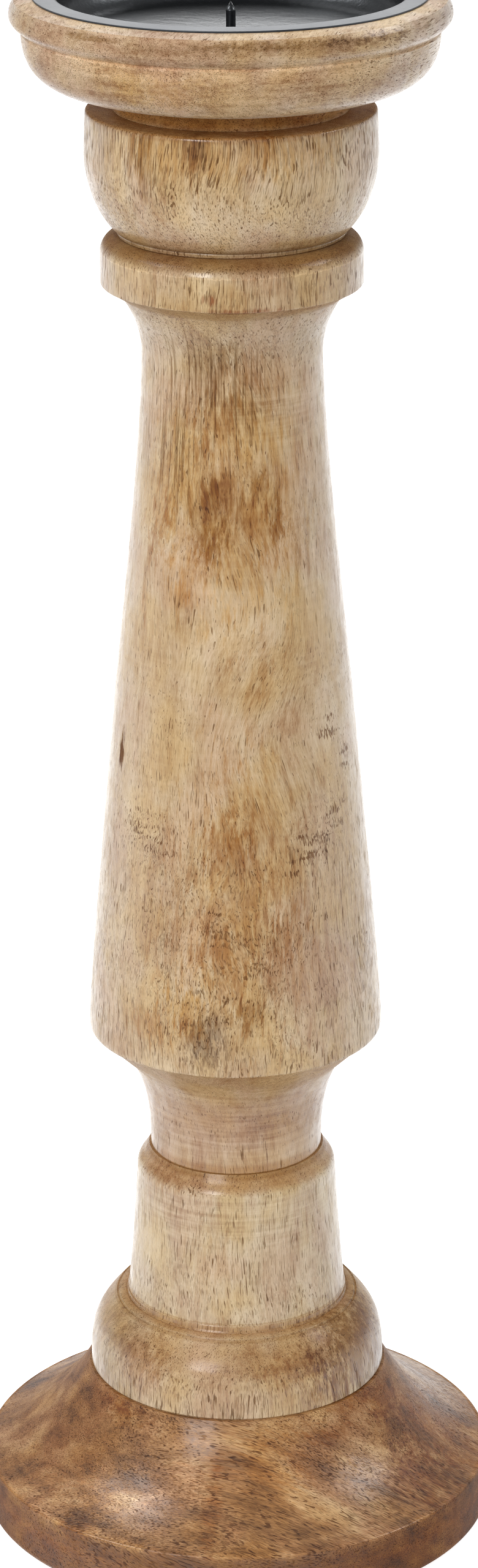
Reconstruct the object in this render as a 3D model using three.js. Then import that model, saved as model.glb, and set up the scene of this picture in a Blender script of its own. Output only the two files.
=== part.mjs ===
// A turned hardwood pillar candle holder with a loose black metal candle plate.
// Millimetres, +Z up. The origin is the centre of the surface that it stands on.
// Five turned sections stack on one axis: base disc, pedestal, shaft, capital and dish.

import * as THREE from 'three';

// Clearances
const GLUE_GAP = 0.3; // glue line between two glued faces, and round a dowel or tenon
const DROP_GAP = 0.7; // play round the candle plate in its recess
const BEARING_GAP = 0.3; // between parts that only rest on each other

// Felt pads
const FELT_COUNT = 4;
const FELT_RADIUS = 9;
const FELT_THICKNESS = 1.2;
const FELT_CIRCLE = 47; // distance of the pads from the axis

// Base disc
const BASE_FOOT_RADIUS = 63.2;
const BASE_RIM_RADIUS = 62.7;
const BASE_RIM_HEIGHT = 13.9;
const BASE_HEIGHT = 37;
const BASE_SEAT_RADIUS = 36.9;
const BASE_HOLLOW = 3.2; // depth of the hollow flank behind its straight chord
const BASE_FOOT_ROUND = 1.5;
const BASE_RIM_ROUND = 0.8;

// Pedestal: tenon, half-round bead, small fillet, flaring collar, shoulder
const TENON_RADIUS = 15;
const TENON_LENGTH = 18;
const BEAD_RADIUS = 36.4;
const BEAD_HEIGHT = 18;
const BEAD_TOP_RADIUS = 29.9;
const FILLET_RADIUS = 27.7; // foot of the fillet on top of the bead
const FILLET_RISE = 0.9;
const COLLAR_FOOT_RADIUS = 26.9;
const QUIRK_HEIGHT = 1.6; // narrow upright band between fillet and collar
const COLLAR_HEIGHT = 31;
const COLLAR_TOP_RADIUS = 24.4;
const SHOULDER_HEIGHT = 7;
const SHOULDER_TOP_RADIUS = 21.4;

// Shaft: neck, undercut, taper, upper cove, ring
const NECK_RADIUS = 20.95;
const NECK_HEIGHT = 23;
const NECK_TOP_RADIUS = 25.8;
const UNDERCUT_HEIGHT = 8;
const BODY_RADIUS = 35.5; // widest, just above the sharp lower edge
const BODY_EDGE_ROUND = 1.3;
const BODY_HEIGHT = 87; // from the lower edge to the middle of the taper
const MIDDLE_RADIUS = 28.3;
const TAPER_HEIGHT = 82; // from the middle of the taper to the waist
const WAIST_RADIUS = 21.15;
const COVE_HEIGHT = 14.4;
const COVE_TOP_RADIUS = 25.8;
const RING_UNDERCUT_HEIGHT = 2.6;
const RING_RADIUS = 30.5;
const RING_HEIGHT = 8;
const RING_TOP_RADIUS = 26.4;
const RING_EDGE_ROUND = 0.4;
const RING_ROUND_HEIGHT = 3.6;

// Capital: the cup-shaped section
const CUP_FOOT_RADIUS = 26.2;
const CUP_RADIUS = 33.95;
const CUP_BELLY_HEIGHT = 18.8;
const CUP_SIDE_HEIGHT = 10.2;
const CUP_LIP_RADIUS = 33.6;
const CUP_LIP_ROUND = 1.1;

// Dish: foot, belly, groove, rim bead, recess
const DISH_FOOT_RADIUS = 27.3;
const DISH_FOOT_HEIGHT = 4;
const DISH_BELLY_HEIGHT = 13.6;
const DISH_GROOVE_RADIUS = 47.9;
const DISH_GROOVE_LIP = 0.5;
const DISH_RIM_HEIGHT = 7.3;
const DISH_RADIUS = 50.5; // widest, at the bulge of the rim
const DISH_BULGE_HEIGHT = 3.8; // above the groove
const DISH_RIM_RADIUS = 49.3; // top outer edge of the rim
const DISH_RIM_FALL = 0.7; // how far the top face falls towards that edge
const DISH_LAND_RADIUS = 45.8; // outer edge of the flat land that carries the flange
const RECESS_FLOOR_GAP = 1.3; // under the head of the spike

// Dowels
const DOWEL_RADIUS = 8;
const DOWEL_CHAMFER = 1;
const LOWER_DOWEL_DEPTH = 30; // into the pedestal and into the shaft
const UPPER_DOWEL_DEPTH = 36; // into the shaft
const DISH_DOWEL_DEPTH = 9; // into the dish

// Screw and washer under the base
const SCREW_RADIUS = 2.5;
const SCREW_LENGTH = 42;
const SCREW_POINT = 7;
const SCREW_HEAD_RADIUS = 5.5;
const SCREW_HEAD_HEIGHT = 3.8;
const WASHER_RADIUS = 9;
const WASHER_THICKNESS = 1.5;
const COUNTERBORE_RADIUS = 10.5;
const COUNTERBORE_DEPTH = 9;

// Candle plate, pressed from sheet
const SHEET = 1;
const FLANGE_RADIUS = 45.3;
const MOUTH_RADIUS = 39.5;
const MOUTH_BEND = 0.9; // inside radius of the bend between flange and wall
const CUP_DEPTH = 9.2; // flange top to floor
const CUP_CORNER = 6; // inside radius between wall and floor

// Spike
const SPIKE_RADIUS = 1.1;
const SPIKE_RISE = 7; // point above the floor of the cup
const SPIKE_POINT = 2;
const SPIKE_HEAD_RADIUS = 3.5;
const SPIKE_HEAD_HEIGHT = 1;

// Facets round the axis
const TURNED_FACETS = 40;
const SMALL_FACETS = 20;

// Heights of the stack, from the standing surface up
const baseZ = FELT_THICKNESS + GLUE_GAP;
const baseTopZ = baseZ + BASE_HEIGHT;
const pedestalZ = baseTopZ + GLUE_GAP;
const beadTopZ = pedestalZ + BEAD_HEIGHT;
const collarZ = beadTopZ + FILLET_RISE + QUIRK_HEIGHT;
const shoulderZ = collarZ + COLLAR_HEIGHT;
const pedestalTopZ = shoulderZ + SHOULDER_HEIGHT;
const shaftZ = pedestalTopZ + GLUE_GAP;
const neckTopZ = shaftZ + NECK_HEIGHT;
const bodyZ = neckTopZ + UNDERCUT_HEIGHT;
const middleZ = bodyZ + BODY_HEIGHT;
const waistZ = middleZ + TAPER_HEIGHT;
const coveTopZ = waistZ + COVE_HEIGHT;
const ringZ = coveTopZ + RING_UNDERCUT_HEIGHT;
const ringRoundZ = ringZ + RING_HEIGHT;
const shaftTopZ = ringRoundZ + RING_ROUND_HEIGHT;
const capitalZ = shaftTopZ + GLUE_GAP;
const cupSideZ = capitalZ + CUP_BELLY_HEIGHT;
const capitalTopZ = cupSideZ + CUP_SIDE_HEIGHT;
const dishZ = capitalTopZ + GLUE_GAP;
const dishBellyZ = dishZ + DISH_FOOT_HEIGHT;
const grooveZ = dishBellyZ + DISH_BELLY_HEIGHT;
const dishTopZ = grooveZ + DISH_RIM_HEIGHT;
const flangeZ = dishTopZ + BEARING_GAP;
const flangeTopZ = flangeZ + SHEET;
const floorTopZ = flangeTopZ - CUP_DEPTH;
const floorZ = floorTopZ - SHEET;
const spikeHeadTopZ = floorZ - BEARING_GAP;
const spikeHeadZ = spikeHeadTopZ - SPIKE_HEAD_HEIGHT;
const recessFloorZ = spikeHeadZ - RECESS_FLOOR_GAP;

// Bores and the parts that go in them
const boreRadius = DOWEL_RADIUS + GLUE_GAP;
const mortiseRadius = TENON_RADIUS + GLUE_GAP;
const tenonZ = pedestalZ - TENON_LENGTH;
const mortiseZ = tenonZ - GLUE_GAP;
const screwBoreRadius = SCREW_RADIUS + BEARING_GAP;
const washerTopZ = baseZ + COUNTERBORE_DEPTH - BEARING_GAP;
const washerZ = washerTopZ - WASHER_THICKNESS;
const headTopZ = washerZ - BEARING_GAP;
const screwTipZ = headTopZ + SCREW_LENGTH;
const lowerDowelZ = pedestalTopZ - LOWER_DOWEL_DEPTH;
const lowerDowelTopZ = shaftZ + LOWER_DOWEL_DEPTH;
const upperDowelZ = shaftTopZ - UPPER_DOWEL_DEPTH;
const upperDowelTopZ = dishZ + DISH_DOWEL_DEPTH;
const recessRadius = MOUTH_RADIUS + SHEET + DROP_GAP;
const spikeHoleRadius = SPIKE_RADIUS + BEARING_GAP;

// A half-section in radius and height. Each call adds the stretch that ends at its point.
class Section {
  constructor(radius, height) {
    this.points = [new THREE.Vector2(radius, height)];
  }

  get end() {
    return this.points[this.points.length - 1];
  }

  to(radius, height) {
    this.points.push(new THREE.Vector2(radius, height));
    return this;
  }

  // A corner rounded off: the curve keeps to the two lines that meet at the corner.
  round(cornerRadius, cornerHeight, radius, height, steps = 3) {
    const corner = new THREE.Vector2(cornerRadius, cornerHeight);
    const curve = new THREE.QuadraticBezierCurve(this.end, corner, new THREE.Vector2(radius, height));
    this.points.push(...curve.getPoints(steps).slice(1));
    return this;
  }

  // A free curve. Each handle is given as shares of the way to the end, in radius and in height.
  sweep(radius, height, leave, arrive, steps = 6) {
    const from = this.end;
    const to = new THREE.Vector2(radius, height);
    const handle = ([r, z]) => new THREE.Vector2(
      from.x + r * (to.x - from.x),
      from.y + z * (to.y - from.y),
    );
    const curve = new THREE.CubicBezierCurve(from, handle(leave), handle(arrive), to);
    this.points.push(...curve.getPoints(steps).slice(1));
    return this;
  }

  // A hollow between two points, this deep behind the straight line that joins them.
  hollow(radius, height, depth, steps = 6) {
    const from = this.end;
    const to = new THREE.Vector2(radius, height);
    const along = to.clone().sub(from).normalize();
    const inward = new THREE.Vector2(-along.y, along.x);
    const corner = from.clone().add(to).multiplyScalar(0.5).addScaledVector(inward, 2 * depth);
    return this.round(corner.x, corner.y, radius, height, steps);
  }

  // A bend about a centre, from one angle to another.
  turn(centreRadius, centreHeight, fromAngle, toAngle, bend, steps = 4) {
    for (let step = 1; step <= steps; step += 1) {
      const angle = fromAngle + (step / steps) * (toAngle - fromAngle);
      this.to(centreRadius + bend * Math.cos(angle), centreHeight + bend * Math.sin(angle));
    }
    return this;
  }

  // A section that leaves the axis and comes back to it needs no closing; a ring closes on itself.
  close() {
    this.points.push(this.points[0].clone());
    return this;
  }
}

// Lathe work: the half-section turned about the upright axis.
function turned(section, facets = TURNED_FACETS) {
  return new THREE.LatheGeometry(section.points, facets).rotateX(Math.PI / 2);
}

// Finishes
const paleWood = new THREE.MeshStandardMaterial({ color: 0xc3a47c, roughness: 0.5, metalness: 0 });
const darkWood = new THREE.MeshStandardMaterial({ color: 0x936a45, roughness: 0.5, metalness: 0 });
const dowelWood = new THREE.MeshStandardMaterial({ color: 0xd6bd95, roughness: 0.7, metalness: 0 });
const blackEnamel = new THREE.MeshStandardMaterial({ color: 0x17181a, roughness: 0.35, metalness: 0.3 });
const zincSteel = new THREE.MeshStandardMaterial({ color: 0xb8babd, roughness: 0.35, metalness: 1 });
const brownFelt = new THREE.MeshStandardMaterial({ color: 0x4a3a2e, roughness: 0.95, metalness: 0 });

const holder = new THREE.Group();

function add(name, geometry, material) {
  const piece = new THREE.Mesh(geometry, material);
  piece.name = name;
  holder.add(piece);
  return piece;
}

// Base disc: counterbore for the screw below, mortise for the pedestal above, hollow flank.
const rimZ = baseZ + BASE_RIM_HEIGHT;
const counterboreZ = baseZ + COUNTERBORE_DEPTH;
add('base_disc', turned(new Section(screwBoreRadius, counterboreZ)
  .to(COUNTERBORE_RADIUS, counterboreZ)
  .to(COUNTERBORE_RADIUS, baseZ)
  .to(BASE_FOOT_RADIUS - BASE_FOOT_ROUND, baseZ)
  .round(BASE_FOOT_RADIUS, baseZ, BASE_FOOT_RADIUS, baseZ + BASE_FOOT_ROUND)
  .to(BASE_RIM_RADIUS, rimZ - BASE_RIM_ROUND)
  .round(BASE_RIM_RADIUS, rimZ, BASE_RIM_RADIUS - BASE_RIM_ROUND, rimZ)
  .hollow(BASE_SEAT_RADIUS, baseTopZ, BASE_HOLLOW, 9)
  .to(mortiseRadius, baseTopZ)
  .to(mortiseRadius, mortiseZ)
  .to(screwBoreRadius, mortiseZ)
  .close()), darkWood);

// Pedestal: tenon with the screw's pilot bore, bead, fillet, quirk, collar and shoulder.
const pilotZ = screwTipZ + BEARING_GAP;
add('pedestal', turned(new Section(0, pilotZ)
  .to(screwBoreRadius, pilotZ)
  .to(screwBoreRadius, tenonZ)
  .to(TENON_RADIUS, tenonZ)
  .to(TENON_RADIUS, pedestalZ)
  .to(BEAD_RADIUS - GLUE_GAP, pedestalZ)
  .to(BEAD_RADIUS, pedestalZ + GLUE_GAP)
  .sweep(BEAD_TOP_RADIUS, beadTopZ, [0, 0.58], [0.23, 0.69], 8)
  .to(FILLET_RADIUS, beadTopZ + FILLET_RISE)
  .to(COLLAR_FOOT_RADIUS, collarZ)
  .sweep(COLLAR_TOP_RADIUS, shoulderZ, [0.47, 0.33], [0.72, 0.66], 4)
  .sweep(SHOULDER_TOP_RADIUS, pedestalTopZ, [-0.05, 0.52], [0.36, 0.45], 5)
  .to(boreRadius, pedestalTopZ)
  .to(boreRadius, lowerDowelZ - GLUE_GAP)
  .to(0, lowerDowelZ - GLUE_GAP)), paleWood);

// Shaft: neck, undercut lower edge, taper in two sweeps, cove, ring.
add('shaft', turned(new Section(0, lowerDowelTopZ + GLUE_GAP)
  .to(boreRadius, lowerDowelTopZ + GLUE_GAP)
  .to(boreRadius, shaftZ)
  .to(NECK_RADIUS, shaftZ)
  .sweep(NECK_TOP_RADIUS, neckTopZ, [-0.03, 0.37], [0.19, 0.74], 6)
  .to(BODY_RADIUS - BODY_EDGE_ROUND, bodyZ)
  .round(BODY_RADIUS, bodyZ, BODY_RADIUS, bodyZ + BODY_EDGE_ROUND)
  .sweep(MIDDLE_RADIUS, middleZ, [-0.02, 0.1], [0.5, 0.53], 7)
  .sweep(WAIST_RADIUS, waistZ, [0.21, 0.18], [0.99, 0.78], 7)
  .sweep(COVE_TOP_RADIUS, coveTopZ, [0.01, 0.4], [0.3, 0.66], 6)
  .to(RING_RADIUS - RING_EDGE_ROUND, ringZ)
  .round(RING_RADIUS, ringZ, RING_RADIUS, ringZ + RING_EDGE_ROUND, 2)
  .to(RING_RADIUS, ringRoundZ)
  .sweep(RING_TOP_RADIUS, shaftTopZ, [0.1, 0.55], [0.4, 0.9], 4)
  .to(boreRadius, shaftTopZ)
  .to(boreRadius, upperDowelZ - GLUE_GAP)
  .to(0, upperDowelZ - GLUE_GAP)), paleWood);

// Capital: a cup-shaped section, bored right through for the upper dowel.
add('capital', turned(new Section(boreRadius, capitalZ)
  .to(CUP_FOOT_RADIUS, capitalZ)
  .sweep(CUP_RADIUS, cupSideZ, [0.87, 0.33], [1, 0.84], 7)
  .to(CUP_LIP_RADIUS, capitalTopZ - CUP_LIP_ROUND)
  .round(CUP_LIP_RADIUS, capitalTopZ, CUP_LIP_RADIUS - CUP_LIP_ROUND, capitalTopZ)
  .to(boreRadius, capitalTopZ)
  .close()), paleWood);

// Dish: dowel bore below, foot, belly, groove, rim, and the recess for the candle plate.
const landFallZ = dishTopZ - DISH_RIM_FALL;
add('dish', turned(new Section(0, upperDowelTopZ + GLUE_GAP)
  .to(boreRadius, upperDowelTopZ + GLUE_GAP)
  .to(boreRadius, dishZ)
  .to(DISH_FOOT_RADIUS, dishZ)
  .to(DISH_FOOT_RADIUS, dishBellyZ)
  .sweep(DISH_GROOVE_RADIUS, grooveZ, [0.74, 0], [0.985, 0.31], 9)
  .to(DISH_GROOVE_RADIUS + DISH_GROOVE_LIP, grooveZ)
  .sweep(DISH_RADIUS, grooveZ + DISH_BULGE_HEIGHT, [0.7, 0.25], [1, 0.6], 4)
  .sweep(DISH_RIM_RADIUS, landFallZ, [0, 0.5], [0.5, 0.9], 4)
  .to(DISH_LAND_RADIUS, dishTopZ)
  .to(recessRadius, dishTopZ)
  .to(recessRadius, recessFloorZ)
  .to(0, recessFloorZ)), paleWood);

// Dowels with chamfered ends.
function dowel(fromZ, toZ) {
  return turned(new Section(0, fromZ)
    .to(DOWEL_RADIUS - DOWEL_CHAMFER, fromZ)
    .to(DOWEL_RADIUS, fromZ + DOWEL_CHAMFER)
    .to(DOWEL_RADIUS, toZ - DOWEL_CHAMFER)
    .to(DOWEL_RADIUS - DOWEL_CHAMFER, toZ)
    .to(0, toZ), SMALL_FACETS);
}
add('lower_dowel', dowel(lowerDowelZ, lowerDowelTopZ), dowelWood);
add('upper_dowel', dowel(upperDowelZ, upperDowelTopZ), dowelWood);

// Screw with a pan head, and its washer.
const headZ = headTopZ - SCREW_HEAD_HEIGHT;
add('base_screw', turned(new Section(0, headZ)
  .to(SCREW_HEAD_RADIUS / 2, headZ)
  .round(SCREW_HEAD_RADIUS, headZ, SCREW_HEAD_RADIUS, headTopZ)
  .to(SCREW_RADIUS, headTopZ)
  .to(SCREW_RADIUS, screwTipZ - SCREW_POINT)
  .to(0, screwTipZ), SMALL_FACETS), zincSteel);
add('screw_washer', turned(new Section(screwBoreRadius, washerZ)
  .to(WASHER_RADIUS, washerZ)
  .to(WASHER_RADIUS, washerTopZ)
  .to(screwBoreRadius, washerTopZ)
  .close(), SMALL_FACETS), zincSteel);

// Candle plate: one sheet of even thickness, floor, corner, wall, bend and flange, walked
// along its underside and back along its top.
const cornerRadius = MOUTH_RADIUS - CUP_CORNER;
const cornerZ = floorTopZ + CUP_CORNER;
const bendRadius = MOUTH_RADIUS + SHEET + MOUTH_BEND;
const bendZ = flangeZ - MOUTH_BEND;
const quarter = Math.PI / 2;
add('candle_plate', turned(new Section(spikeHoleRadius, floorZ)
  .to(cornerRadius, floorZ)
  .turn(cornerRadius, cornerZ, -quarter, 0, CUP_CORNER + SHEET)
  .to(MOUTH_RADIUS + SHEET, bendZ)
  .turn(bendRadius, bendZ, 2 * quarter, quarter, MOUTH_BEND, 2)
  .to(FLANGE_RADIUS, flangeZ)
  .to(FLANGE_RADIUS, flangeTopZ)
  .to(bendRadius, flangeTopZ)
  .turn(bendRadius, bendZ, quarter, 2 * quarter, MOUTH_BEND + SHEET, 3)
  .to(MOUTH_RADIUS, cornerZ)
  .turn(cornerRadius, cornerZ, 0, -quarter, CUP_CORNER)
  .to(spikeHoleRadius, floorTopZ)
  .close()), blackEnamel);

// Spike: flat head under the floor, plain shank, pointed tip.
const spikeTipZ = floorTopZ + SPIKE_RISE;
add('spike', turned(new Section(0, spikeHeadZ)
  .to(SPIKE_HEAD_RADIUS, spikeHeadZ)
  .to(SPIKE_HEAD_RADIUS, spikeHeadTopZ)
  .to(SPIKE_RADIUS, spikeHeadTopZ)
  .to(SPIKE_RADIUS, spikeTipZ - SPIKE_POINT)
  .to(0, spikeTipZ), SMALL_FACETS), blackEnamel);

// Felt pads on a circle under the base.
for (let count = 0; count < FELT_COUNT; count += 1) {
  const angle = ((count + 0.5) / FELT_COUNT) * 2 * Math.PI;
  const pad = add(`felt_pad_${count + 1}`, turned(new Section(0, 0)
    .to(FELT_RADIUS, 0)
    .to(FELT_RADIUS, FELT_THICKNESS)
    .to(0, FELT_THICKNESS), SMALL_FACETS), brownFelt);
  pad.position.set(FELT_CIRCLE * Math.cos(angle), FELT_CIRCLE * Math.sin(angle), 0);
}

export default holder;
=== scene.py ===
"""A turned hardwood pillar candle holder with a loose black candle plate.

Sizes are in millimetres, and a mesh is made from them in metres. Outer radii and heights are read
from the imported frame, so each dressed piece lies where its solid does.
"""

import math
from collections import namedtuple

import bmesh
import bpy
from mathutils import Matrix, Vector


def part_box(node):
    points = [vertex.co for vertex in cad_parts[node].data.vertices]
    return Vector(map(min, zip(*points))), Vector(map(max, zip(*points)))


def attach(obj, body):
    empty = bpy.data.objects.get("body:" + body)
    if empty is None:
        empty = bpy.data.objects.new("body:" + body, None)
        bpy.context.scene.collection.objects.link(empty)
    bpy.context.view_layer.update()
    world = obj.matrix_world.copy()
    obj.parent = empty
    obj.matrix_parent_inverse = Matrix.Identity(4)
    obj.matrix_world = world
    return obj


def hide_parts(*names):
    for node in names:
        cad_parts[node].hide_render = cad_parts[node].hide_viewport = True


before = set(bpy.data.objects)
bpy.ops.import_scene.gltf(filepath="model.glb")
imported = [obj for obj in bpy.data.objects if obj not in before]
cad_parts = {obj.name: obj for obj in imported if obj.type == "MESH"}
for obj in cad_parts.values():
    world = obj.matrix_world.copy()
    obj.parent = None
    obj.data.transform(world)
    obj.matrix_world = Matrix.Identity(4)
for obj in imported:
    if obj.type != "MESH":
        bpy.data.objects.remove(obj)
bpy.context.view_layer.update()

MM = 0.001
FACETS = 192  # round the axis of a turned piece
SMALL_FACETS = 64
SEAM = 2e-6  # metres: points nearer than this become one
SHARP_ANGLE = 28  # degrees: steeper edges stay crisp

# Camera, fitted to the ring edges in the photograph
CAMERA_PLACE = (1.1, -1095.1, 590.7)
CAMERA_PITCH = 20.07  # degrees below level
CAMERA_ROLL = -0.25  # degrees
FRAME_HEIGHT = 2560  # pixels
FOCAL_LENGTH = 7923  # pixels
SENSOR = 36.0


def reach(node):
    """Outer radius, lowest and highest point of a turned solid, in millimetres."""
    low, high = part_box(node)
    return high.x / MM, low.z / MM, high.z / MM


class Section:
    """A half-section in radius and height. Each call adds the stretch that ends at its point."""

    def __init__(self, radius, height):
        self.points = [(radius, height, 0)]

    def to(self, radius, height, ease=0):
        """A straight stretch. Ease rounds off the corner that it ends in."""
        self.points.append((radius, height, ease))
        return self

    def bend(self, handles, radius, height, steps):
        """A Bezier curve by these handles."""
        start = self.points[-1][:2]
        for step in range(1, steps + 1):
            ring = [Vector(p) for p in (start, *handles, (radius, height))]
            while len(ring) > 1:
                ring = [a.lerp(b, step / steps) for a, b in zip(ring, ring[1:])]
            self.to(*ring[0])
        return self

    def round(self, corner_radius, corner_height, radius, height, steps=8):
        """A corner rounded off: the curve keeps to the two lines that meet at the corner."""
        return self.bend([(corner_radius, corner_height)], radius, height, steps)

    def sweep(self, radius, height, leave, arrive, steps=32):
        """A free curve. Each handle is given as shares of the way to the end."""
        r, z = self.points[-1][:2]
        handles = [(r + a * (radius - r), z + b * (height - z)) for a, b in (leave, arrive)]
        return self.bend(handles, radius, height, steps)

    def hollow(self, radius, height, depth, steps=40):
        """A hollow this deep behind the straight line between two points."""
        start = Vector(self.points[-1][:2])
        end = Vector((radius, height))
        along = (end - start).normalized()
        corner = (start + end) / 2 + Vector((-along.y, along.x)) * 2 * depth
        return self.round(*corner, radius, height, steps)

    def turn(self, centre_radius, centre_height, from_angle, to_angle, bend, steps=12):
        """A bend about a centre, from one angle to another, in degrees."""
        for step in range(1, steps + 1):
            angle = math.radians(from_angle + step / steps * (to_angle - from_angle))
            self.to(centre_radius + bend * math.cos(angle), centre_height + bend * math.sin(angle))
        return self

    def crease(self, radius, height, offsets):
        """Short stretches at a fine cut: each offset from this point, with its ease."""
        for across, up, ease in offsets:
            self.to(radius + across, height + up, ease)
        return self

    def close(self):
        """A ring closes on itself; a section that starts and ends on the axis needs no closing."""
        self.points.append(self.points[0])
        return self

    def outline(self, steps=4):
        """The points in order, with each eased corner replaced by a small curve."""
        places = [Vector(p[:2]) for p in self.points]
        line = [places[0]]
        for before, (_, _, ease), here, after in zip(places, self.points[1:], places[1:], places[2:]):
            room = min(ease, 0.45 * (before - here).length, 0.45 * (after - here).length)
            if room <= 0:
                line.append(here)
                continue
            start = here + (before - here).normalized() * room
            end = here + (after - here).normalized() * room
            for step in range(steps + 1):
                share = step / steps
                line.append(start.lerp(here, share).lerp(here.lerp(end, share), share))
        return line + [places[-1]]


def operator(operation, swapped=False):
    """A Python operator that adds a Math node, where needed with its two terms swapped."""
    def result(value, term):
        return value.nodes.maths(operation, *((term, value) if swapped else (value, term)))
    return result


class Value:
    """A node's output that takes part in Python sums."""

    def __init__(self, nodes, socket):
        self.nodes = nodes
        self.socket = socket

    def other(self, name):
        """Another output of the same node."""
        return Value(self.nodes, self.socket.node.outputs[name])

    def maths(self, operation, *others):
        """A sum in which this value comes first."""
        return self.nodes.maths(operation, self, *others)

    def __abs__(self):
        return self.maths("ABSOLUTE")

    __add__ = __radd__ = operator("ADD")
    __sub__ = operator("SUBTRACT")
    __rsub__ = operator("SUBTRACT", True)
    __mul__ = __rmul__ = operator("MULTIPLY")
    __truediv__ = operator("DIVIDE")
    __rtruediv__ = operator("DIVIDE", True)

    def rise(self, low, high):
        """A smooth step from 0 at low to 1 at high; with low above high it falls."""
        settings = {"interpolation_type": "SMOOTHSTEP"}
        return self.nodes.node("ShaderNodeMapRange", settings, {0: self, 1: low, 2: high})


class Nodes:
    """A node tree, written as calls and sums."""

    def __init__(self, tree):
        self.tree = tree

    def node(self, kind, settings=None, inputs=None, output=0):
        """Adds a node: its settings first, then the values or links of its inputs."""
        made = self.tree.nodes.new(kind)
        for name, value in (settings or {}).items():
            if name == "stops":
                set_stops(made.color_ramp, value)
            else:
                setattr(made, name, value)
        for name, value in (inputs or {}).items():
            if isinstance(value, Value):
                self.tree.links.new(value.socket, made.inputs[name])
            elif isinstance(value, tuple) and isinstance(value[0], Value):
                for each in value:
                    self.tree.links.new(each.socket, made.inputs[name])
            else:
                made.inputs[name].default_value = value
        return Value(self, made.outputs[output]) if made.outputs else None

    def coordinates(self, kind):
        return self.node("ShaderNodeTexCoord", None, None, kind)

    def maths(self, operation, *terms):
        return self.node("ShaderNodeMath", {"operation": operation}, dict(enumerate(terms)))

    def vector(self, operation, first, second):
        inputs = {0: first, "Scale" if operation == "SCALE" else 1: second}
        output = "Value" if operation in ("DOT_PRODUCT", "LENGTH") else "Vector"
        return self.node("ShaderNodeVectorMath", {"operation": operation}, inputs, output)

    def parts(self, vector):
        """The three numbers of a vector."""
        x = self.node("ShaderNodeSeparateXYZ", None, {0: vector})
        return x, x.other("Y"), x.other("Z")

    def joined(self, x, y, z):
        return self.node("ShaderNodeCombineXYZ", None, {0: x, 1: y, 2: z})

    def length(self, vector):
        return self.vector("LENGTH", vector, (0, 0, 0))

    def noise(self, vector, size, detail=2.0, rough=0.5, output="Fac"):
        """Soft noise whose lumps have this size, or a size for each axis."""
        lumps = self.vector("DIVIDE", vector, size if isinstance(size, tuple) else (size,) * 3)
        inputs = {"Vector": lumps, "Scale": 1.0, "Detail": detail, "Roughness": rough}
        return self.node("ShaderNodeTexNoise", None, inputs, output)

    def push(self, vector, size, far):
        """A soft push in all directions, this far along each axis."""
        lumps = self.noise(vector, size, output="Color")
        return self.vector("MULTIPLY", self.vector("SUBTRACT", lumps, (0.5, 0.5, 0.5)), far)

    def layers(self, value, detail, rough):
        """Noise along one number."""
        inputs = {"W": value, "Scale": 1.0, "Detail": detail, "Roughness": rough}
        return self.node("ShaderNodeTexNoise", {"noise_dimensions": "1D"}, inputs)

    def mix(self, share, first, second, blend="MIX"):
        """From the first colour at 0 to the second, or to both blended, at 1."""
        settings = {"data_type": "RGBA", "blend_type": blend}
        return self.node("ShaderNodeMix", settings, {0: share, 6: first, 7: second}, 2)

    def ramp(self, value, stops):
        """A colour, or a grey level used as a number, along a value."""
        return self.node("ShaderNodeValToRGB", {"stops": stops}, {0: value})

    def bump(self, strength, depth, height):
        """A normal from heights of 0 to 1, this many millimetres apart."""
        inputs = {"Strength": strength, "Distance": depth * MM, "Height": height}
        return self.node("ShaderNodeBump", None, inputs)


def set_stops(ramp, stops):
    """Puts these (place, colour) stops in a colour ramp."""
    while len(ramp.elements) < len(stops):
        ramp.elements.new(0.5)
    for element, (place, tone) in zip(ramp.elements, stops):
        element.position = place
        element.color = tone


def colour(red, green, blue):
    """A colour as seen on a screen, 0 to 255, in the linear light that shaders use."""
    shares = [level / 255 for level in (red, green, blue)]
    linear = [((s + 0.055) / 1.055) ** 2.4 if s > 0.04045 else s / 12.92 for s in shares]
    return (*linear, 1.0)


def placed(name, data):
    """An object in the scene."""
    made = bpy.data.objects.new(name, data)
    bpy.context.scene.collection.objects.link(made)
    return made


# Lathe


def tree_with(name, blank, **inputs):
    """A Geometry Nodes tree that takes a blank, these inputs and a finish, and its group input."""
    tree = bpy.data.node_groups.new(name, "GeometryNodeTree")
    for label, kind in {blank: "Geometry", **inputs, "Finish": "Material"}.items():
        tree.interface.new_socket(label, in_out="INPUT", socket_type=f"NodeSocket{kind}")
    tree.interface.new_socket("Piece", in_out="OUTPUT", socket_type="NodeSocketGeometry")
    nodes = Nodes(tree)
    return tree, nodes, nodes.node("NodeGroupInput")


def moved(nodes, geometry, up=0.0, turn=0.0):
    """Geometry lifted along the upright axis and turned about it."""
    inputs = {"Translation": nodes.joined(0.0, 0.0, up), "Rotation": nodes.joined(0.0, 0.0, turn)}
    return nodes.node("GeometryNodeTransform", None, {"Geometry": geometry, **inputs})


def close_tree(nodes, geometry, finish):
    """Real meshes only, with their finish."""
    real = nodes.node("GeometryNodeRealizeInstances", None, {"Geometry": geometry})
    done = nodes.node("GeometryNodeSetMaterial", None, {"Geometry": real, "Material": finish})
    nodes.node("NodeGroupOutput", None, {0: done})


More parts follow.
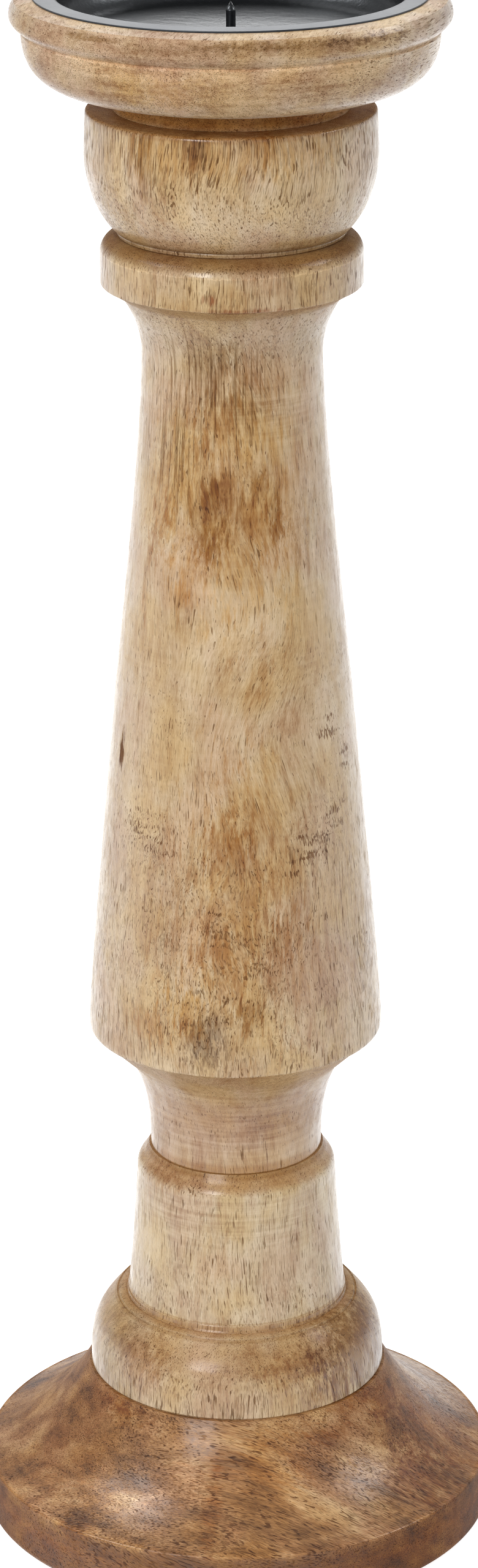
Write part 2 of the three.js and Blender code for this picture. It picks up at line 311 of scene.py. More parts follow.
def lathe_tree():
    """Geometry Nodes that turn a half-section about the upright axis."""
    tree, nodes, section = tree_with("turn_on_lathe", "Section", Facets="Int")
    count = nodes.node("GeometryNodeAttributeDomainSize", {"component": "MESH"}, {0: section})
    blank = nodes.node("GeometryNodeMeshGrid", None, {
        "Size X": 1.0, "Size Y": 1.0, "Vertices X": section.other("Facets") + 1, "Vertices Y": count})
    place = nodes.node("GeometryNodeInputPosition")
    across, along, _ = nodes.parts(place)
    angle = (across + 0.5) * math.tau
    row = ((along + 0.5) * (count - 1)).maths("ROUND")
    sampled = nodes.node("GeometryNodeSampleIndex", {"data_type": "FLOAT_VECTOR"},
                         {"Geometry": section, "Value": place, "Index": row})
    radius, _, height = nodes.parts(sampled)
    spot = nodes.joined(radius * angle.maths("COSINE"), radius * angle.maths("SINE"), height)
    turned = nodes.node("GeometryNodeSetPosition", None, {"Geometry": blank, "Position": spot})
    closed = nodes.node("GeometryNodeMergeByDistance", None, {"Geometry": turned, "Distance": SEAM})
    smooth = nodes.node("GeometryNodeSetShadeSmooth", None, {"Geometry": closed})
    close_tree(nodes, smooth, section.other("Finish"))
    return tree


LATHE = lathe_tree()


def grown(name, blank, tree, **inputs):
    """The mesh that a Geometry Nodes tree makes of a blank, as a plain piece."""
    source = placed(name + "_blank", blank)
    modifier = source.modifiers.new("grow", "NODES")
    modifier.node_group = tree
    for item in tree.interface.items_tree:
        if item.name in inputs:
            modifier[item.identifier] = inputs[item.name]
    evaluated = source.evaluated_get(bpy.context.evaluated_depsgraph_get())
    mesh = bpy.data.meshes.new_from_object(evaluated)
    mesh.name = name
    bpy.data.objects.remove(source)
    return mesh


def ring_tree():
    """Geometry Nodes that set copies of a piece on a circle about the upright axis."""
    tree, nodes, piece = tree_with("set_on_circle", "Copy", Count="Int", Circle="Float", Fuzz="Float")
    count = piece.other("Count")
    points = nodes.node("GeometryNodeMeshCircle", None, {"Vertices": count, "Radius": piece.other("Circle")})
    points = moved(nodes, points, turn=math.pi / count)
    copies = nodes.node("GeometryNodeInstanceOnPoints", None, {"Points": points, "Instance": piece})
    real = nodes.node("GeometryNodeRealizeInstances", None, {"Geometry": copies})
    place = nodes.node("GeometryNodeInputPosition")
    push = nodes.vector("SCALE", nodes.push(place, FELT_LUMP * MM, (1, 1, 0)), piece.other("Fuzz"))
    rough = nodes.node("GeometryNodeSetPosition", None, {"Geometry": real, "Offset": push})
    close_tree(nodes, rough, piece.other("Finish"))
    return tree


def thread_tree():
    """Geometry Nodes that wind a thread round a screw's core and cut a cross in its head."""
    sizes = ("Core", "Crest", "Pitch", "From", "To", "Head", "Cross Length", "Cross Width", "Cross Depth")
    tree, nodes, screw = tree_with("cut_thread", "Screw", **dict.fromkeys(sizes, "Float"))
    core, crest, pitch, low, high, head, long, wide, deep = [screw.other(size) for size in sizes]
    middle = (core + crest) * 0.5
    wind = nodes.node("GeometryNodeCurveSpiral", None, {
        "Resolution": THREAD_STEPS, "Rotations": (high - low) / pitch, "Start Radius": middle,
        "End Radius": middle, "Height": high - low})
    ridge = nodes.node("GeometryNodeCurvePrimitiveCircle", None,
                       {"Resolution": 3, "Radius": (crest - core) * RIDGE_SHARE})
    wire = nodes.node("GeometryNodeCurveToMesh", None,
                      {"Curve": wind, "Profile Curve": ridge, "Fill Caps": True})
    thread = moved(nodes, wire, up=low)
    bar = nodes.node("GeometryNodeMeshCube", None, {"Size": nodes.joined(long, wide, deep * 2.0)})
    across = moved(nodes, bar, turn=math.pi / 2)
    cutters = nodes.node("GeometryNodeMeshBoolean", {"operation": "UNION"}, {"Mesh 2": (bar, across)})
    cross = moved(nodes, cutters, up=head)
    driven = nodes.node("GeometryNodeMeshBoolean", {"operation": "DIFFERENCE"},
                        {"Mesh 1": screw, "Mesh 2": cross})
    both = nodes.node("GeometryNodeJoinGeometry", None, {0: (driven, thread)})
    close_tree(nodes, both, screw.other("Finish"))
    return tree


def finished(name, mesh, body, slot, nodes):
    """A piece with outward faces and crisp edges, riding on its body in place of its solids."""
    work = bmesh.new()
    work.from_mesh(mesh)
    bmesh.ops.recalc_face_normals(work, faces=work.faces)
    work.to_mesh(mesh)
    work.free()
    mesh.set_sharp_from_angle(angle=math.radians(SHARP_ANGLE))
    piece = placed(name, mesh)
    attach(piece, body)
    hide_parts(*nodes)


def lathed(name, section, material, facets):
    """A mesh turned from its half-section."""
    blank = bpy.data.meshes.new(name + "_section")
    blank.from_pydata([(p.x * MM, 0, p.y * MM) for p in section.outline()], [], [])
    return grown(name, blank, LATHE, Facets=facets, Finish=material)


def turned(name, section, material, body, slot, node, facets=FACETS):
    """A piece turned from its half-section."""
    finished(name, lathed(name, section, material, facets), body, slot, [node])


# Finishes

UP = (0, 0, 1)
STREAKS = (1.3, 1.3, 16)  # lump sizes in the wood: across, across and along the grain
CLOUDS = (5, 5, 20)
FLECKS = (2.6, 2.6, 4.5)
SPECKS = (1.2, 1.2, 2.4)
FIBRE = (0.3, 0.3, 4.0)
FINE_PORE = (0.24, 0.24, 1.8)
SHORT_PORE = (0.3, 0.3, 1.0)
TORN_FIBRE = (0.26, 0.26, 1.7)
PORE_WIDTH = 0.32  # of a long pore
PORE_LENGTH = 4.5
SEED_STEPS = (37.0, 91.0, 53.0)  # from one board to the next in the noise
LINES_RADIUS = 22.0  # of the shaft, where grain lines show
HOLDER_HEIGHT = reach("candle_plate")[2]
FLANGE_GREYING = (1.2, 0.4)  # below the top, from where and up to where the enamel turns greyer

Stain = namedtuple("Stain", "angle z wide tall tint strength")
Band = namedtuple("Band", "z half tint strength")
Zone = namedtuple("Zone", "angle z wide tall strength")
Board = namedtuple("Board", "seed pith tones pores grain figure mottle lacquer gloss pore_length "
                   "stains bands scrapes scratches lines curls tears leans",
                   defaults=(UP, STREAKS, 0.6, 0.95, 0.25, PORE_LENGTH) + ((),) * 8)

# What a mark or an opening does to the wood's colour; some tints also serve for painted highlights, painted
# light and painted shade, as noted where they are used
DARK = (0.55, 0.36, 0.08, 1)
BROWN = (0.72, 0.53, 0.30, 1)
AMBER = (0.90, 0.74, 0.47, 1)
GREY = (0.62, 0.62, 0.68, 1)
PALE = (1.22, 1.25, 1.30, 1)
RED = (0.55, 0.30, 0.20, 1)
# Painted warm bounced light on the dish's shaded stub
PAINTED_BOUNCE_LIGHT = (1.25, 0.95, 0.50, 1)
OLIVE = (0.56, 0.46, 0.31, 1)
DUSK = (0.77, 0.69, 0.71, 1)
# Deep brown for grain lines and the ring top's end grain; painted shade in the crease at the cup's foot and
# on the ring top under the cup
DEEP_BROWN_AND_SHADE = (0.44, 0.34, 0.19, 1)
# Greyer and darker; painted shade where it darkens the bead's right side and dims the base's right highlight
DARKER_AND_SHADE = (0.70, 0.70, 0.64, 1)
GOLD = (0.98, 0.89, 0.66, 1)
ROSE = (0.96, 0.88, 0.88, 1)
PORE = (0.28, 0.18, 0.07, 1)
TEAR = (0.32, 0.20, 0.11, 1)


def new_finish(name):
    """A material with an empty tree."""
    material = bpy.data.materials.new(name)
    material.use_nodes = True
    material.node_tree.nodes.clear()
    return material, Nodes(material.node_tree)


def millimetres(nodes):
    """A point's place on its piece, in millimetres."""
    return nodes.vector("SCALE", nodes.coordinates("Object"), 1 / MM)


def show(nodes, inputs):
    """The surface shader and its output."""
    surface = nodes.node("ShaderNodeBsdfPrincipled", None, inputs)
    nodes.node("ShaderNodeOutputMaterial", None, {"Surface": surface})


class Wood:
    """Open-pored hardwood under satin lacquer, solid through the piece."""

    def __init__(self, name, board):
        self.material, self.nodes = new_finish(name)
        self.board = board
        self.find_place()
        self.lay_grain()
        wood = self.stained_and_lit(self.toned())
        fine, pore = self.open_pores()
        wood = self.tinted(wood, fine * (self.end * 0.25 + 0.35), PORE)
        wood = self.tinted(wood, pore * (self.depth * 0.6 + 0.3), PORE)
        if board.lines:
            line = self.grain_lines()
            wood = self.tinted(wood, line * 0.75, DEEP_BROWN_AND_SHADE)
            pore = pore.maths("MAXIMUM", line * 0.6)
        if board.tears:
            tear = self.dashes(TORN_FIBRE, self.zone(board.tears) * (self.rows() * 0.75 + 0.35))
            wood = self.tinted(wood, tear * 0.9, TEAR)
            pore = pore.maths("MAXIMUM", tear)
        self.lacquered(wood, fine, pore)

    def find_place(self):
        """Where a point lies: in millimetres, and as an angle from the front, radius and height."""
        nodes = self.nodes
        self.normal = nodes.coordinates("Normal")
        self.place = millimetres(nodes)
        x, y, self.z = nodes.parts(self.place)
        self.radius = nodes.length(nodes.joined(x, y, 0.0))
        self.lathe = nodes.joined(x, y, self.z + self.radius)
        self.angle = x.maths("ARCTAN2", 0.0 - y)

    def lay_grain(self):
        """Turns the place so that the grain runs along its third axis, with fibres that wander."""
        nodes, board = self.nodes, self.board
        grain = Vector(board.grain).normalized()
        flat = Vector((1, 0, 0)) if abs(grain.x) < 0.5 else Vector((0, 1, 0))
        flat = (flat - flat.dot(grain) * grain).normalized()
        axes = (flat, grain.cross(flat), grain)
        log = nodes.joined(*[nodes.vector("DOT_PRODUCT", self.place, axis) for axis in axes])
        self.end = abs(nodes.vector("DOT_PRODUCT", self.normal, grain)).rise(0.3, 0.85)
        self.shift = [board.seed * step for step in SEED_STEPS]
        self.log = nodes.vector("ADD", log, self.shift)
        self.log = nodes.vector("ADD", self.log, nodes.push(self.log, (28, 28, 60), (10, 10, 0)))
        self.ragged = (nodes.noise(self.log, (1.2, 1.2, 8), 4, 0.7) - 0.5) * (1.0 - self.end * 0.6)
        for lean in map(Zone._make, board.leans):
            across = self.zone([lean]) * (lean.z - self.z)
            self.log = nodes.vector("ADD", self.log, nodes.joined(across, 0.0, 0.0))
        if board.curls:
            self.curl = self.zone(board.curls)
            swirl = nodes.vector("SCALE", nodes.push(self.log, (6, 6, 7), (3, 3, 3)), self.curl)
            self.log = nodes.vector("ADD", self.log, swirl)

    def away(self, mark):
        """How far a point lies from a mark on the turned surface: 1 at the mark's edge."""
        arc = (self.angle - math.radians(mark.angle)) * self.radius
        return self.nodes.length(self.nodes.joined(arc / mark.wide, (self.z - mark.z) / mark.tall, 0.0))

    def zone(self, marks):
        """The sum of several soft zones."""
        total = 0.0
        for mark in map(Zone._make, marks):
            total = self.away(mark).rise(1.35, 0.15) * mark.strength + total
        return total

    def toned(self):
        """Clouds, growth layers about a far pith, streaks and lathe marks, as a tone from pale to brown."""
        nodes, board = self.nodes, self.board
        centre = (board.pith[0] + self.shift[0], board.pith[1] + self.shift[1], 0)
        across = nodes.vector("MULTIPLY", nodes.vector("SUBTRACT", self.log, centre), (1, 1, 0))
        growth = nodes.layers(nodes.length(across) / 5.0, 3.0, 0.6)
        cloud = nodes.noise(self.log, (11, 11, 22), 2)
        blotch = nodes.noise(self.log, FLECKS, 3, 0.6)
        self.depth = blotch.rise(0.35, 0.65)
        self.streak = nodes.noise(self.log, STREAKS, 3, 0.6)
        figure = nodes.noise(self.log, board.figure, 3, 0.6)
        if board.curls:
            figure = figure + (blotch - figure) * self.curl
        self.rings = nodes.noise(self.lathe, (18, 18, 1.3), 3, 0.6)
        self.fibre = nodes.noise(self.log, FIBRE, 3, 0.7).rise(0.25, 0.75)
        scraped = (self.rings - 0.5) * (self.zone(board.scrapes) + 0.2)
        tone = growth * 0.3 + (cloud + figure) * board.mottle + scraped + self.fibre * 0.26
        pale, tan, brown = board.tones
        wood = nodes.ramp(tone + (0.22 - board.mottle), [(0.2, pale), (0.5, tan), (0.82, brown)])
        hue = nodes.noise(self.place, (13, 13, 20), 2)
        wood = self.tinted(wood, hue.rise(0.44, 0.62) * 0.7, GOLD)
        wood = self.tinted(wood, hue.rise(0.5, 0.36) * 0.7, ROSE)
        return self.tinted(wood, self.end * 0.4, BROWN)

    def tinted(self, wood, share, tint):
        """The wood times a tint, by this share."""
        return self.nodes.mix(share, wood, tint, "MULTIPLY")

    def stained_and_lit(self, wood):
        """Stains, painted highlights, painted light and painted shade at their places, with edges that run
        out along the grain, and bands that run round.
        """
        streaks = self.streak.rise(0.35, 0.62) * 0.6 + 0.5
        self.dull = 0.0
        for patch in map(Stain._make, self.board.stains):
            mask = (self.away(patch) + self.ragged * 4.0).rise(1.3, 0.4) * patch.strength
            wood = self.tinted(wood, mask * streaks, patch.tint)
            if patch.tint == TEAR:
                self.dull = mask + self.dull
        for band in map(Band._make, self.board.bands):
            fade = abs((self.z - band.z + self.ragged * 1.2) / band.half).rise(1.0, 0.2)
            wood = self.tinted(wood, fade * band.strength, band.tint)
            if band.tint in (DARK, DEEP_BROWN_AND_SHADE):
                self.dull = fade * band.strength + self.dull
        if self.board.scratches:
            hair = abs(self.nodes.noise(self.place, 9, 1) - 0.5).rise(0.006, 0.001)
            wood = self.tinted(wood, hair * self.zone(self.board.scratches), PALE)
        return wood

    def dashes(self, size, amount):
        """Pores cut open: long where the grain lies in the surface, round across it."""
        level = 0.8 - 0.13 * amount
        return self.nodes.noise(self.log, size, 0).rise(level, level + 0.06)

    def rows(self):
        """Level rows, as the tool leaves them in curled grain."""
        return self.nodes.noise(self.place, (9, 9, 2.2), 2).rise(0.4, 0.65)

    def open_pores(self):
        """Fine and long pores, with short ones in curled grain."""
        nodes, board = self.nodes, self.board
        levels = [(z / HOLDER_HEIGHT, (level, level, level, 1)) for z, level in board.pores]
        amount = nodes.ramp(self.z / HOLDER_HEIGHT, levels)
        amount = amount * (nodes.noise(self.log, (5, 5, 14), 2) * 1.4 + 0.3)
        fine = self.dashes(FINE_PORE, amount)
        amount = amount * (1.0 - self.end * 0.4)
        size = (PORE_WIDTH, PORE_WIDTH, board.pore_length)
        if not board.curls:
            return fine, self.dashes(size, amount)
        short = self.dashes(SHORT_PORE, amount * self.curl * (self.rows() * 0.9 + 0.7))
        return fine, self.dashes(size, amount * (1.0 - self.curl)).maths("MAXIMUM", short)

    def grain_lines(self):
        """Long lines that follow the taper, where the early wood lies in the surface."""
        meridian = self.nodes.joined(self.angle * LINES_RADIUS + self.ragged * 0.8, 0.0, self.z)
        line = self.nodes.noise(meridian, (0.55, 1, 24), 1).rise(0.52, 0.66) * self.zone(self.board.lines)
        return line.maths("MINIMUM", 1.0)

    def lacquered(self, wood, fine, pore):
        """Satin lacquer, thin over open pores and on flat tops, with the faint rings that turning leaves."""
        nodes, board = self.nodes, self.board
        _, _, up = nodes.parts(self.normal)
        bare = self.end.maths("MAXIMUM", up.rise(0.93, 0.99))
        rougher_patch = nodes.noise(self.place, (2, 2, 6), 2)
        rough = 0.34 + 0.14 * rougher_patch + 0.25 * pore + 0.25 * bare + 0.2 * self.dull
        height = self.fibre * 0.4 + self.rings * 0.3 - fine * 0.4 - pore
        bump = nodes.bump(0.6, 0.14, height)
        inputs = {"Base Color": wood, "Roughness": rough, "Normal": bump, "Specular IOR Level": board.gloss}
        if board.lacquer:
            worn = (1.0 - bare * 0.92) * (1.0 - pore * 0.6) * (1.0 - self.dull * 0.7)
            inputs["Coat Weight"] = board.lacquer * worn * (self.fibre * 0.4 + self.depth * 0.5 + 0.5)
            inputs["Coat Roughness"] = 0.2
        show(nodes, inputs)


def black_enamel():
    """Semi-gloss black stoving enamel, faintly orange-peeled and dusty, greyer and rougher on the flange."""
    material, nodes = new_finish("black_enamel")
    place = millimetres(nodes)
    _, _, z = nodes.parts(place)
    peel = nodes.noise(place, 0.9, 3, 0.6)
    waves = nodes.noise(place, 2.4, 2)
    haze = nodes.noise(place, 14, 3)
    dust = nodes.noise(place, 0.35, 1).rise(0.68, 0.8)
    rougher_patch = z.rise(*[HOLDER_HEIGHT - fall for fall in FLANGE_GREYING])
    base = nodes.mix(dust * 0.25, colour(9, 10, 12), colour(120, 120, 122))
    base = nodes.mix(rougher_patch * (0.4 + haze), base, colour(38, 42, 48))
    lumps = (peel * 0.5 + waves) * (1.0 - rougher_patch * 0.6)
    bump = nodes.bump(0.6, 0.2, lumps)
    show(nodes, {"Base Color": base, "Roughness": 0.27 + rougher_patch * 0.11 + haze * 0.1, "Normal": bump, "IOR": 1.6,
                 "Specular Tint": (0.88, 0.94, 1, 1)})
    return material


def zinc_plate():
    """Zinc plating with a fine drawn texture."""
    material, nodes = new_finish("zinc_plate")
    place = millimetres(nodes)
    drawn = nodes.noise(place, (0.25, 0.25, 2.5), 3)
    spangle = nodes.noise(place, 2, 2)
    base = nodes.mix(spangle, colour(170, 172, 174), colour(205, 206, 206))
    show(nodes, {"Base Color": base, "Metallic": 1.0, "Roughness": 0.25 + drawn * 0.25})
    return material


def pressed_felt():
    """Brown wool felt: a mat of short fibres."""
    material, nodes = new_finish("pressed_felt")
    place = millimetres(nodes)
    fibre = nodes.noise(place, (0.18, 0.9, 0.3), 3, 0.7)
    cross = nodes.noise(place, (0.9, 0.18, 0.3), 3, 0.7)
    mat = fibre * 0.5 + cross * 0.5
    base = nodes.ramp(mat, [(0.3, colour(54, 42, 33)), (0.7, colour(104, 84, 66))])
    bump = nodes.bump(0.9, 0.25, mat)
    show(nodes, {"Base Color": base, "Roughness": 0.95, "Normal": bump, "Sheen Weight": 0.5})
    return material


HONEY = (colour(233, 210, 176), colour(211, 182, 143), colour(172, 130, 84))
CREAM = (colour(231, 212, 182), colour(211, 187, 152), colour(170, 133, 95))
SAND = (colour(229, 208, 181), colour(208, 181, 150), colour(168, 131, 97))
UMBER = (colour(214, 176, 130), colour(172, 125, 78), colour(104, 67, 35))
BARE = (colour(226, 204, 166), colour(212, 184, 142), colour(184, 150, 108))

# Pieces of the column, from the base up

BASE_RIM_RADIUS = 62.7
BASE_RIM_HEIGHT = 13.9
BASE_SEAT_RADIUS = 36.9
BASE_HOLLOW = 3.2
BASE_FOOT_ROUND = 1.5
BASE_RIM_ROUND = 0.8
COUNTERBORE = (10.5, 9.0)  # radius, depth
GLUE_GAP = 0.3
GLUE_LINE = 0.02  # what shows of the gap at a glued shoulder
SCREW_BORE = 2.8
TENON = (15.0, 18.0)  # radius, length
DOWEL_BORE = 8.3


def seated(height):
    """Where a glued piece stands, with the gap under its solid closed to a fine line."""
    return height - GLUE_GAP + GLUE_LINE


def base_section():
    foot, bottom, top = reach("base_disc")
    rim = bottom + BASE_RIM_HEIGHT
    mortise = top - TENON[1]
    shelf = bottom + COUNTERBORE[1]
    return (
        Section(SCREW_BORE, shelf)
        .to(COUNTERBORE[0], shelf)
        .to(COUNTERBORE[0], bottom, 0.5)
        .to(foot - BASE_FOOT_ROUND, bottom)
        .round(foot, bottom, foot, bottom + BASE_FOOT_ROUND)
        .to(BASE_RIM_RADIUS, rim - BASE_RIM_ROUND)
        .round(BASE_RIM_RADIUS, rim, BASE_RIM_RADIUS - BASE_RIM_ROUND, rim)
        .hollow(BASE_SEAT_RADIUS, top, BASE_HOLLOW)
        .to(TENON[0] + GLUE_GAP, top)
        .to(TENON[0] + GLUE_GAP, mortise)
        .to(SCREW_BORE, mortise)
        .close())


BEAD_HEIGHT = 18.0
BEAD_TOP_RADIUS = 29.9
BEAD_CHAMFER = (0.3, 0.2)  # width, height
FILLET_RADIUS = 27.7
FILLET_RISE = 0.9
COLLAR_FOOT_RADIUS = 26.9
QUIRK_HEIGHT = 1.6
COLLAR_TOP_RADIUS = 24.4
SHOULDER_HEIGHT = 7.0
SHOULDER_TOP_RADIUS = 21.4

# Fine cuts: each point's radius and height from a corner, and its ease
BEAD_CREASE = ((-0.35, -0.25, 0.1), (-0.7, 0.3, 0.15))
FILLET_CREASE = ((0, 0, 0.15), (-0.3, -0.2, 0.1))
COLLAR_CREASE = ((0.15, 0.4 - QUIRK_HEIGHT, 0.1), (0.1, -0.3, 0.2), (-0.1, 0, 0))


def pedestal_section():
    bead, tenon_end, top = reach("pedestal")
    foot = tenon_end + TENON[1]
    bead_top = foot + BEAD_HEIGHT
    seat = seated(foot)
    fillet = bead_top + FILLET_RISE
    collar = fillet + QUIRK_HEIGHT
    bore_end = reach("lower_dowel")[1] - GLUE_GAP
    pilot_end = reach("base_screw")[2] + GLUE_GAP
    return (
        Section(0, pilot_end)
        .to(SCREW_BORE, pilot_end)
        .to(SCREW_BORE, tenon_end)
        .to(TENON[0], tenon_end, 1)
        .to(TENON[0], seat)
        .to(bead - BEAD_CHAMFER[0], seat)
        .to(bead, foot + BEAD_CHAMFER[1])
        .sweep(BEAD_TOP_RADIUS, bead_top, (0, 0.58), (0.23, 0.69), 48)
        .crease(BEAD_TOP_RADIUS, bead_top, BEAD_CREASE)
        .crease(FILLET_RADIUS, fillet, FILLET_CREASE)
        .crease(COLLAR_FOOT_RADIUS, collar, COLLAR_CREASE)
        .sweep(COLLAR_TOP_RADIUS, top - SHOULDER_HEIGHT, (0.47, 0.33), (0.72, 0.66), 28)
        .sweep(SHOULDER_TOP_RADIUS, top, (-0.05, 0.52), (0.36, 0.45), 28)
        .to(DOWEL_BORE, top)
        .to(DOWEL_BORE, bore_end)
        .to(0, bore_end))


NECK_RADIUS = 20.95
NECK_HEIGHT = 23.0
NECK_TOP_RADIUS = 25.8
UNDERCUT_HEIGHT = 8.0
BODY_EDGE_ROUND = 1.3
BODY_HEIGHT = 87.0
MIDDLE_RADIUS = 28.3
TAPER_HEIGHT = 82.0
WAIST_RADIUS = 21.15
COVE_HEIGHT = 14.4
COVE_TOP_RADIUS = 25.8
RING_UNDERCUT_HEIGHT = 2.6
RING_RADIUS = 30.5
RING_EDGE_ROUND = 0.4
RING_HEIGHT = 8.0
RING_TOP_RADIUS = 26.4


def shaft_section():
    body_radius, foot, top = reach("shaft")
    neck_top = foot + NECK_HEIGHT
    body = neck_top + UNDERCUT_HEIGHT
    middle = body + BODY_HEIGHT
    waist = middle + TAPER_HEIGHT
    cove_top = waist + COVE_HEIGHT
    ring = cove_top + RING_UNDERCUT_HEIGHT
    lower_end = reach("lower_dowel")[2] + GLUE_GAP
    upper_end = reach("upper_dowel")[1] - GLUE_GAP
    return (
        Section(0, lower_end)
        .to(DOWEL_BORE, lower_end)
        .to(DOWEL_BORE, seated(foot))
        .to(NECK_RADIUS, seated(foot), 0.2)
        .sweep(NECK_TOP_RADIUS, neck_top, (-0.03, 0.37), (0.19, 0.74))
        .to(body_radius - BODY_EDGE_ROUND, body)
        .round(body_radius, body, body_radius, body + BODY_EDGE_ROUND)
        .sweep(MIDDLE_RADIUS, middle, (-0.02, 0.1), (0.5, 0.53), 48)
        .sweep(WAIST_RADIUS, waist, (0.21, 0.18), (0.99, 0.78), 48)
        .sweep(COVE_TOP_RADIUS, cove_top, (0.01, 0.4), (0.3, 0.66), 28)
        .to(RING_RADIUS - RING_EDGE_ROUND, ring)
        .round(RING_RADIUS, ring, RING_RADIUS, ring + RING_EDGE_ROUND, 5)
        .to(RING_RADIUS, ring + RING_HEIGHT, 0.3)
        .sweep(RING_TOP_RADIUS, top, (0.1, 0.55), (0.4, 0.9), 24)
        .to(DOWEL_BORE, top)
        .to(DOWEL_BORE, upper_end)
        .to(0, upper_end))


CUP_FOOT_RADIUS = 26.2
CUP_SIDE_HEIGHT = 10.2
CUP_LIP_RADIUS = 33.6
CUP_LIP_ROUND = 1.1
CUP_CREASE = ((0, 0, 0.1), (0.35, 0.25, 0.1), (0.55, 0.9, 0.1), (0.45, 1.15, 0.05), (0.85, 1.3, 0.1))


def capital_section():
    cup, foot, top = reach("capital")
    return (
        Section(DOWEL_BORE, seated(foot))
        .crease(CUP_FOOT_RADIUS, seated(foot), CUP_CREASE)
        .sweep(cup, top - CUP_SIDE_HEIGHT, (0.87, 0.33), (1, 0.84), 44)
        .to(CUP_LIP_RADIUS, top - CUP_LIP_ROUND)
        .round(CUP_LIP_RADIUS, top, CUP_LIP_RADIUS - CUP_LIP_ROUND, top)
        .to(DOWEL_BORE, top)
        .close())


DISH_FOOT_RADIUS = 27.3
DISH_FOOT_HEIGHT = 4.0
DISH_BELLY_HEIGHT = 13.6
DISH_GROOVE_RADIUS = 47.9
DISH_GROOVE_DEPTH = 0.4
DISH_BULGE_HEIGHT = 3.8
DISH_RIM_RADIUS = 49.3
DISH_RIM_FALL = 0.7
DISH_LAND_RADIUS = 45.8
RECESS = (41.2, 11.5)  # radius, depth
LAND_RISE = 0.62  # the pressed sheet is thinner than its solid, and the land comes up to it


def dish_section():
    bulge, foot, top = reach("dish")
    belly = foot + DISH_FOOT_HEIGHT
    groove = belly + DISH_BELLY_HEIGHT
    floor = top - RECESS[1]
    land = top + LAND_RISE
    bore_end = reach("upper_dowel")[2] + GLUE_GAP
    return (
        Section(0, bore_end)
        .to(DOWEL_BORE, bore_end)
        .to(DOWEL_BORE, seated(foot))
        .to(DISH_FOOT_RADIUS, seated(foot), 0.2)
        .to(DISH_FOOT_RADIUS, belly, 0.8)
        .sweep(DISH_GROOVE_RADIUS, groove, (0.74, 0), (0.985, 0.31), 48)
        .to(DISH_GROOVE_RADIUS - DISH_GROOVE_DEPTH, groove + DISH_GROOVE_DEPTH, 0.3)
        .sweep(bulge, groove + DISH_BULGE_HEIGHT, (0.25, 0.2), (1, 0.5), 20)
        .sweep(DISH_RIM_RADIUS, land - DISH_RIM_FALL, (0, 0.5), (0.3, 0.6), 20)
        .to(DISH_LAND_RADIUS, land)
        .to(RECESS[0], land, 0.3)
        .to(RECESS[0], floor, 0.6)
        .to(0, floor))


SHEET = 1.0
FLANGE_SHEET = 0.4
FLANGE_FALL = 0.23
MOUTH_RADIUS = 39.5
MOUTH_BEND = 0.9
BEND_SHEET = 0.5  # where the flange begins
CUP_CORNER = 6.0
SPIKE_HOLE = 1.4


def plate_section():
    flange, floor, top = reach("candle_plate")
    corner = MOUTH_RADIUS - CUP_CORNER
    corner_z = floor + SHEET + CUP_CORNER
    bend = MOUTH_RADIUS + SHEET + MOUTH_BEND
    bend_z = top - SHEET - MOUTH_BEND
    edge = top - FLANGE_FALL
    under = top - BEND_SHEET
    return (
        Section(SPIKE_HOLE, floor)
        .to(corner, floor)
        .turn(corner, corner_z, -90, 0, CUP_CORNER + SHEET)
        .to(MOUTH_RADIUS + SHEET, bend_z)
        .round(MOUTH_RADIUS + SHEET, under, bend, under)
        .to(flange, edge - FLANGE_SHEET, 0.1)
        .to(flange, edge, 0.15)
        .to(bend, top, 0.4)
        .turn(bend, bend_z, 90, 180, MOUTH_BEND + SHEET)
        .to(MOUTH_RADIUS, corner_z)
        .turn(corner, corner_z, 0, -90, CUP_CORNER)
        .to(SPIKE_HOLE, floor + SHEET)
        .close())


SPIKE_RADIUS = 1.1
SPIKE_POINT = 2.0
SPIKE_HEAD_HEIGHT = 1.0


def spike_section():
    head, bottom, tip = reach("spike")
    return (
        Section(0, bottom)
        .to(head, bottom, 0.3)
        .to(head, bottom + SPIKE_HEAD_HEIGHT, 0.2)
        .to(SPIKE_RADIUS, bottom + SPIKE_HEAD_HEIGHT)
        .to(SPIKE_RADIUS, tip - SPIKE_POINT, 0.2)
        .to(0, tip))


SCREW_CORE = 1.8
THREAD_RADIUS = 2.5
THREAD_PITCH = 2.2
THREAD_STEPS = 24  # in each turn
RIDGE_SHARE = 0.62  # of the thread's depth, as the radius of its wire
SHANK = (8.0, 9.0)  # above the head: its end, and where the core begins
SCREW_POINT = 7.0
SCREW_HEAD_HEIGHT = 3.8
CROSS = (5.2, 1.0, 1.9)  # length, width and depth of the recess in the head


def screw_section():
    head, bottom, tip = reach("base_screw")
    shoulder = bottom + SCREW_HEAD_HEIGHT
    return (
        Section(0, bottom)
        .to(head / 2, bottom)
        .round(head, bottom, head, shoulder, 14)
        .to(THREAD_RADIUS, shoulder, 0.2)
        .to(THREAD_RADIUS, shoulder + SHANK[0], 0.4)
        .to(SCREW_CORE, shoulder + SHANK[1])
        .to(SCREW_CORE, tip - SCREW_POINT)
        .to(0, tip))


def washer_section():
    outer, bottom, top = reach("screw_washer")
    return (
        Section(SCREW_BORE, bottom)
        .to(outer, bottom, 0.5)
        .to(outer, top, 0.2)
        .to(SCREW_BORE, top, 0.2)
        .close())


FELT = (9.0, 1.2)  # radius, thickness
FELT_ROUND = 0.6
FELT_FUZZ = 0.25
FELT_LUMP = 1.1
FELT_CIRCLE = 47.0
FELT_COUNT = 4


def pad_section():
    radius, thickness = FELT
    return (
        Section(0, 0)
        .to(radius - FELT_ROUND, 0)
        .round(radius, 0, radius, FELT_ROUND, 4)
        .to(radius - 0.1, thickness, 0.3)
        .to(0, thickness))
